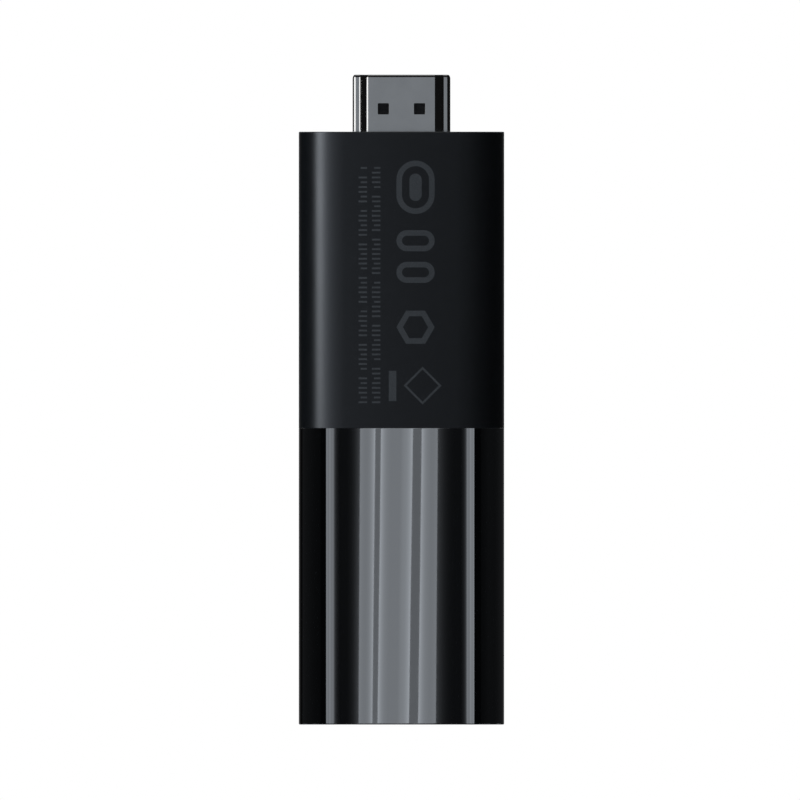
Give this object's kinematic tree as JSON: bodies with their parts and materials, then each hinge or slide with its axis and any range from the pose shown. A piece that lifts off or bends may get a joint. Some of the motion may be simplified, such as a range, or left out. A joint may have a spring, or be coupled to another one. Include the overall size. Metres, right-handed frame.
{
  "type": "streaming media player",
  "caption": "Pocket-size streaming stick: a flat rounded body, matte at the plug end and gloss at the tail, with a bare HDMI plug on one end and a small power socket in the other.",
  "frame": {"origin": "centre of the flat tail face, the end away from the HDMI plug", "axes": "+Z along the stick towards the plug's tip, X across the width, Y through the thickness with the plug's wide face towards +Y and its narrow face towards -Y"},
  "size_m": [0.0292, 0.0152, 0.0924],
  "materials": {
    "matte_black_plastic": "fine moulded texture, low sheen",
    "gloss_black_plastic": "polished, mirror-like",
    "dark_nickel_steel": "dark nickel plate, satin",
    "gold_plating": "thin gold plate",
    "black_nylon": "moulded, glass filled",
    "green_board_laminate": "solder mask over copper",
    "black_chip_resin": "moulded resin",
    "grey_ferrite": "pressed powder",
    "yellow_capacitor_resin": "moulded resin",
    "grey_thermal_pad": "soft silicone",
    "cast_aluminium": "as cast",
    "screw_steel": "zinc plate",
    "brass_socket": "bright",
    "copper_film": "copper on film",
    "black_cable_jacket": "smooth"
  },
  "bodies": {
    "root": {"antenna_cable": "black_cable_jacket", "antenna_cable_plug": "gold_plating", "antenna_socket": "brass_socket", "antenna_strip": "copper_film", "back_heat_sink": "cast_aluminium", "bulk_capacitor_1": "yellow_capacitor_resin", "bulk_capacitor_2": "yellow_capacitor_resin", "crystal": "dark_nickel_steel", "flash_chip": "black_chip_resin", "front_heat_sink": "cast_aluminium", "gloss_housing": "gloss_black_plastic", "heat_sink_screw_1": "screw_steel", "heat_sink_screw_2": "screw_steel", "heat_sink_screw_3": "screw_steel", "heat_sink_screw_4": "screw_steel", "lid_thermal_pad": "grey_thermal_pad", "main_board": "green_board_laminate", "matte_housing": "matte_black_plastic", "memory_chip_1": "black_chip_resin", "memory_chip_2": "black_chip_resin", "memory_thermal_pad": "grey_thermal_pad", "plug_insulator": "black_nylon", "plug_rear_block": "black_nylon", "plug_shell": "dark_nickel_steel", "power_chip": "black_chip_resin", "power_inductor_1": "grey_ferrite", "power_inductor_2": "grey_ferrite", "shield_frame": "dark_nickel_steel", "shield_lid": "dark_nickel_steel", "soc_chip": "black_chip_resin", "soc_thermal_pad": "grey_thermal_pad", "usb_contact_1": "gold_plating", "usb_contact_2": "gold_plating", "usb_contact_3": "gold_plating", "usb_contact_4": "gold_plating", "usb_contact_5": "gold_plating", "usb_shell": "dark_nickel_steel", "usb_tongue": "black_nylon", "wifi_module_board": "green_board_laminate", "wifi_module_cover": "dark_nickel_steel"},
    "upper_contacts": {"plug_contact_01": "gold_plating", "plug_contact_03": "gold_plating", "plug_contact_05": "gold_plating", "plug_contact_07": "gold_plating", "plug_contact_09": "gold_plating", "plug_contact_11": "gold_plating", "plug_contact_13": "gold_plating", "plug_contact_15": "gold_plating", "plug_contact_17": "gold_plating", "plug_contact_19": "gold_plating"},
    "lower_contacts": {"plug_contact_02": "gold_plating", "plug_contact_04": "gold_plating", "plug_contact_06": "gold_plating", "plug_contact_08": "gold_plating", "plug_contact_10": "gold_plating", "plug_contact_12": "gold_plating", "plug_contact_14": "gold_plating", "plug_contact_16": "gold_plating", "plug_contact_18": "gold_plating"}
  },
  "joints": [
    {"name": "upper_contact_flex", "type": "hinge", "parent": "root", "child": "upper_contacts", "pos_m": [0, 0.00141, 0.0823], "axis": [-1, 0, 0], "range_deg": [0, 1.8]},
    {"name": "lower_contact_flex", "type": "hinge", "parent": "root", "child": "lower_contacts", "pos_m": [0, -0.00061, 0.0823], "axis": [1, 0, 0], "range_deg": [0, 1.8]}
  ]
}
